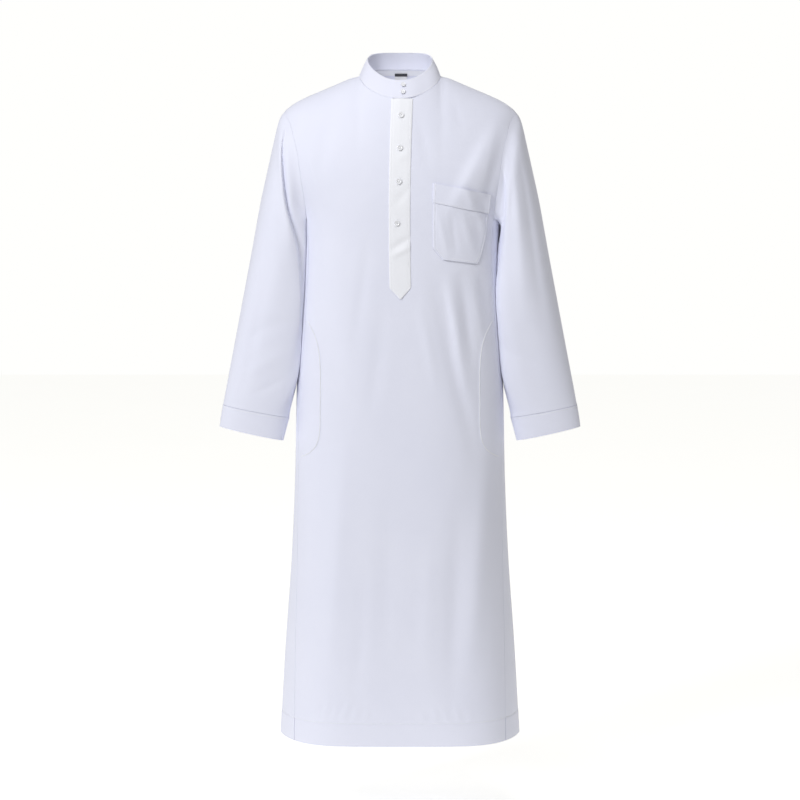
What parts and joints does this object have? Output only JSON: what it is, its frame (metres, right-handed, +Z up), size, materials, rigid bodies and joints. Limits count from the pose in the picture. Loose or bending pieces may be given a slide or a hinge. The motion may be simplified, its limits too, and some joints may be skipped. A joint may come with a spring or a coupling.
{
  "type": "kurta",
  "caption": "Ankle-length kurta of thobe cut with a stand collar, half placket, long sleeves and a chest pocket, hollow as worn.",
  "frame": {"origin": "middle of the neck opening, level with the sides of the neckline, where the wearer's neck and shoulders hold the garment up", "axes": "+Z up to the collar, -Y is the front, +X is the wearer's left"},
  "size_m": [0.7394, 0.278, 1.4043],
  "materials": {
    "shirting": "smooth matt poly-cotton with a slight sheen",
    "stiffened_shirting": "the same cloth over interlining, smoother",
    "button": "pearly gloss",
    "label": "woven satin tape"
  },
  "bodies": {
    "root": {"front_panel": "shirting", "front_skirt": "shirting", "back_panel": "shirting", "back_skirt": "shirting", "side_gore_left": "shirting", "side_gore_right": "shirting", "sleeve_left": "shirting", "sleeve_right": "shirting", "cuff_left": "shirting", "cuff_right": "shirting", "chest_pocket": "shirting", "chest_pocket_band": "shirting", "side_pocket_left": "shirting", "side_pocket_right": "shirting", "collar": "stiffened_shirting", "placket": "stiffened_shirting", "button_collar_1": "button", "button_collar_2": "button", "button_placket_1": "button", "button_placket_2": "button", "button_placket_3": "button", "button_placket_4": "button", "neck_label": "label"}
  },
  "joints": []
}
